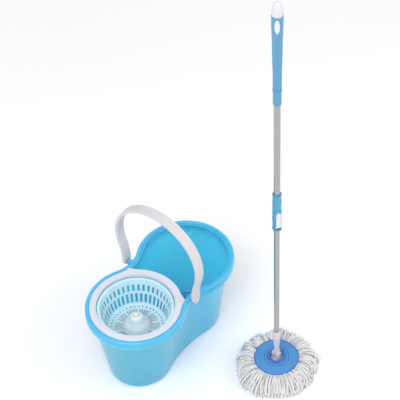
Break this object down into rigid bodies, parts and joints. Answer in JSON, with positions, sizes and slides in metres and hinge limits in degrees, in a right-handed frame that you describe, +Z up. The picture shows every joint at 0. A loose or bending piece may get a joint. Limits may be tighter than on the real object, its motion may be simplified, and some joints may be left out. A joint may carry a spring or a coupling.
{
  "type": "spin mop",
  "caption": "Spin mop set: two-lobed bucket with bail handle, splash collar and wringing basket, and a telescopic twist-drive mop with a round yarn head.",
  "frame": {"origin": "on the floor, in the middle of the whole set's bounding box", "axes": "+Z up along the mop's pole, +X along the bucket from the basket end to the open tub end, +Y from the mop towards the bucket"},
  "size_m": [0.4638, 0.545, 1.25],
  "materials": {
    "sky_plastic": "gloss",
    "white_plastic": "gloss",
    "strap_plastic": "satin",
    "frosted_plastic": "satin",
    "royal_plastic": "gloss",
    "grip_plastic": "satin",
    "nylon": "satin",
    "chrome_tube": "polished",
    "steel": "satin",
    "microfibre": "matte"
  },
  "bodies": {
    "bucket": {"bucket_shell": "sky_plastic", "splash_collar": "white_plastic", "basket_pedestal": "sky_plastic", "basket_spindle": "steel", "thrust_washer": "nylon", "handle_pins": "white_plastic"},
    "handle": {"bail_handle": "strap_plastic"},
    "basket": {"spin_basket": "frosted_plastic", "basket_bush": "nylon", "hub_knob": "white_plastic"},
    "mop_head": {"head_disc": "royal_plastic", "strand_ring": "white_plastic", "mop_strands": "microfibre", "swivel_clevis": "white_plastic", "tilt_pin": "steel"},
    "lower_pole": {"pole_connector": "white_plastic", "connector_rivet": "steel", "lower_tube": "chrome_tube", "drive_nut": "nylon"},
    "pole_guide": {"guide_ring": "nylon"},
    "upper_pole": {"upper_tube": "chrome_tube", "twisted_rod": "steel", "rod_anchor": "nylon", "anchor_rivet": "steel", "lock_sleeve": "grip_plastic", "sleeve_bush": "nylon", "lever_pin": "steel", "grip_sleeve": "grip_plastic", "grip_inlay": "white_plastic", "grip_collar": "grip_plastic", "end_cap": "white_plastic"},
    "lever": {"lock_lever": "white_plastic"}
  },
  "joints": [
    {"name": "handle_fold", "type": "hinge", "parent": "bucket", "child": "handle", "pos_m": [0.002, 0.13905, 0.2425], "axis": [0, 1, 0], "range_deg": [-70, 70]},
    {"name": "basket_spin", "type": "hinge", "parent": "bucket", "child": "basket", "pos_m": [-0.103, 0.13905, 0.15], "axis": [0, 0, 1], "continuous": true},
    {"name": "mop_lift", "type": "slide", "parent": "bucket", "child": "mop_head", "axis": [0, 0, 1], "range_m": [0, 0.3]},
    {"name": "pole_tilt", "type": "hinge", "parent": "mop_head", "child": "lower_pole", "pos_m": [0.095, -0.16255, 0.062], "axis": [0, 1, 0], "range_deg": [-80, 80]},
    {"name": "pole_spin", "type": "hinge", "parent": "lower_pole", "child": "pole_guide", "pos_m": [0.095, -0.16255, 0.707], "axis": [0, 0, 1], "range_deg": [0, 720]},
    {"name": "pole_press", "type": "slide", "parent": "pole_guide", "child": "upper_pole", "axis": [0, 0, -1], "range_m": [0, 0.2]},
    {"name": "lever_flip", "type": "hinge", "parent": "upper_pole", "child": "lever", "pos_m": [0.0893, -0.17101, 0.607], "axis": [-0.829, 0.5592, 0], "range_deg": [0, 60]}
  ],
  "couplings": [
    {"joint": "pole_spin", "follows": "pole_press", "rad_per_m": 62.83}
  ]
}
